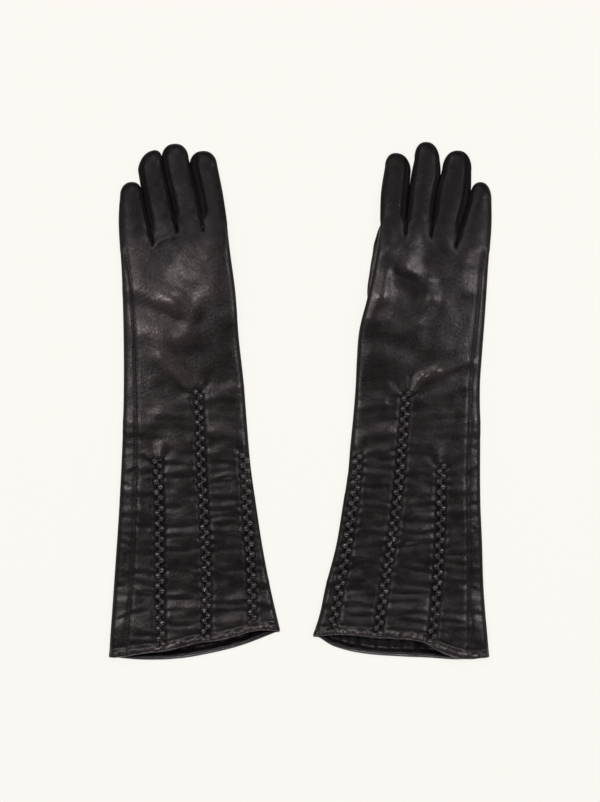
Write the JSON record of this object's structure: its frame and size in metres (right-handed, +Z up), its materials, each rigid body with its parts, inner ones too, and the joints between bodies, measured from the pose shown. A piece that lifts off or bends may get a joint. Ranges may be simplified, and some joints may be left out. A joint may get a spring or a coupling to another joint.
{
  "type": "pair of long leather dress gloves",
  "caption": "Pair of long dark leather dress gloves lying flat, palms down, with shirred rows down the back of each flaring sleeve and silk lining.",
  "frame": {"origin": "on the surface the gloves lie on, under the middle of the pair", "axes": "+Y from the cuffs to the fingertips, +X from the left glove to the right glove, +Z up out of the backs of the hands"},
  "size_m": [0.3241, 0.4411, 0.0165],
  "materials": {
    "leather": "soft nappa, dull satin sheen",
    "side_leather": "soft nappa, matt",
    "lining": "fine knitted silk",
    "thread": "twisted sewing thread"
  },
  "bodies": {
    "left_sleeve": {"left_sleeve_leather": "leather", "left_hem_facing": "side_leather", "left_sleeve_lining": "lining", "left_inner_shirred_row": "leather", "left_middle_shirred_row": "leather", "left_outer_shirred_row": "leather", "left_sleeve_seam_thread": "thread"},
    "left_hand": {"left_hand_leather": "leather", "left_hand_lining": "lining", "left_hand_seam_thread": "thread"},
    "left_thumb": {"left_thumb_stall": "leather"},
    "left_index": {"left_index_stall": "leather", "left_index_fourchette_middle_side": "side_leather"},
    "left_middle": {"left_middle_stall": "leather", "left_middle_fourchette_index_side": "side_leather", "left_middle_fourchette_ring_side": "side_leather"},
    "left_ring": {"left_ring_stall": "leather", "left_ring_fourchette_middle_side": "side_leather", "left_ring_fourchette_little_side": "side_leather"},
    "left_little": {"left_little_stall": "leather", "left_little_fourchette_ring_side": "side_leather"},
    "right_sleeve": {"right_sleeve_leather": "leather", "right_hem_facing": "side_leather", "right_sleeve_lining": "lining", "right_inner_shirred_row": "leather", "right_middle_shirred_row": "leather", "right_outer_shirred_row": "leather", "right_sleeve_seam_thread": "thread"},
    "right_hand": {"right_hand_leather": "leather", "right_hand_lining": "lining", "right_hand_seam_thread": "thread"},
    "right_thumb": {"right_thumb_stall": "leather"},
    "right_index": {"right_index_stall": "leather", "right_index_fourchette_middle_side": "side_leather"},
    "right_middle": {"right_middle_stall": "leather", "right_middle_fourchette_index_side": "side_leather", "right_middle_fourchette_ring_side": "side_leather"},
    "right_ring": {"right_ring_stall": "leather", "right_ring_fourchette_middle_side": "side_leather", "right_ring_fourchette_little_side": "side_leather"},
    "right_little": {"right_little_stall": "leather", "right_little_fourchette_ring_side": "side_leather"}
  },
  "joints": [
    {"name": "left_wrist_bend", "type": "hinge", "parent": "left_sleeve", "child": "left_hand", "pos_m": [-0.1, 0.044, 0.009], "axis": [1, 0, 0], "range_deg": [0, 60]},
    {"name": "left_index_bend", "type": "hinge", "parent": "left_hand", "child": "left_index", "pos_m": [-0.0714, 0.1478, 0.0146], "axis": [0.9826, 0.1858, 0], "range_deg": [0, 60]},
    {"name": "left_middle_bend", "type": "hinge", "parent": "left_hand", "child": "left_middle", "pos_m": [-0.0945, 0.1478, 0.0096], "axis": [0.9826, 0.1859, 0], "range_deg": [0, 60]},
    {"name": "left_ring_bend", "type": "hinge", "parent": "left_hand", "child": "left_ring", "pos_m": [-0.1184, 0.1448, 0.0088], "axis": [0.991, 0.1338, 0], "range_deg": [0, 60]},
    {"name": "left_little_bend", "type": "hinge", "parent": "left_hand", "child": "left_little", "pos_m": [-0.1411, 0.1368, 0.0082], "axis": [0.9952, 0.0983, 0], "range_deg": [0, 60]},
    {"name": "left_thumb_swing", "type": "hinge", "parent": "left_hand", "child": "left_thumb", "pos_m": [-0.075, 0.084, 0.003], "axis": [0, 0, -1], "range_deg": [0, 55]},
    {"name": "right_wrist_bend", "type": "hinge", "parent": "right_sleeve", "child": "right_hand", "pos_m": [0.1, 0.044, 0.009], "axis": [1, 0, 0], "range_deg": [0, 60]},
    {"name": "right_index_bend", "type": "hinge", "parent": "right_hand", "child": "right_index", "pos_m": [0.0792, 0.1478, 0.0146], "axis": [0.9983, -0.0591, 0], "range_deg": [0, 60]},
    {"name": "right_middle_bend", "type": "hinge", "parent": "right_hand", "child": "right_middle", "pos_m": [0.1017, 0.1478, 0.0096], "axis": [0.9967, -0.0807, 0], "range_deg": [0, 60]},
    {"name": "right_ring_bend", "type": "hinge", "parent": "right_hand", "child": "right_ring", "pos_m": [0.1255, 0.1458, 0.0088], "axis": [0.9923, -0.124, 0], "range_deg": [0, 60]},
    {"name": "right_little_bend", "type": "hinge", "parent": "right_hand", "child": "right_little", "pos_m": [0.1481, 0.1368, 0.0082], "axis": [0.993, -0.1185, 0], "range_deg": [0, 60]},
    {"name": "right_thumb_swing", "type": "hinge", "parent": "right_hand", "child": "right_thumb", "pos_m": [0.071, 0.084, 0.003], "axis": [0, 0, 1], "range_deg": [0, 55]},
    {"name": "gloves_apart", "type": "slide", "parent": "left_sleeve", "child": "right_sleeve", "axis": [1, 0, 0], "range_m": [0, 0.08]}
  ]
}
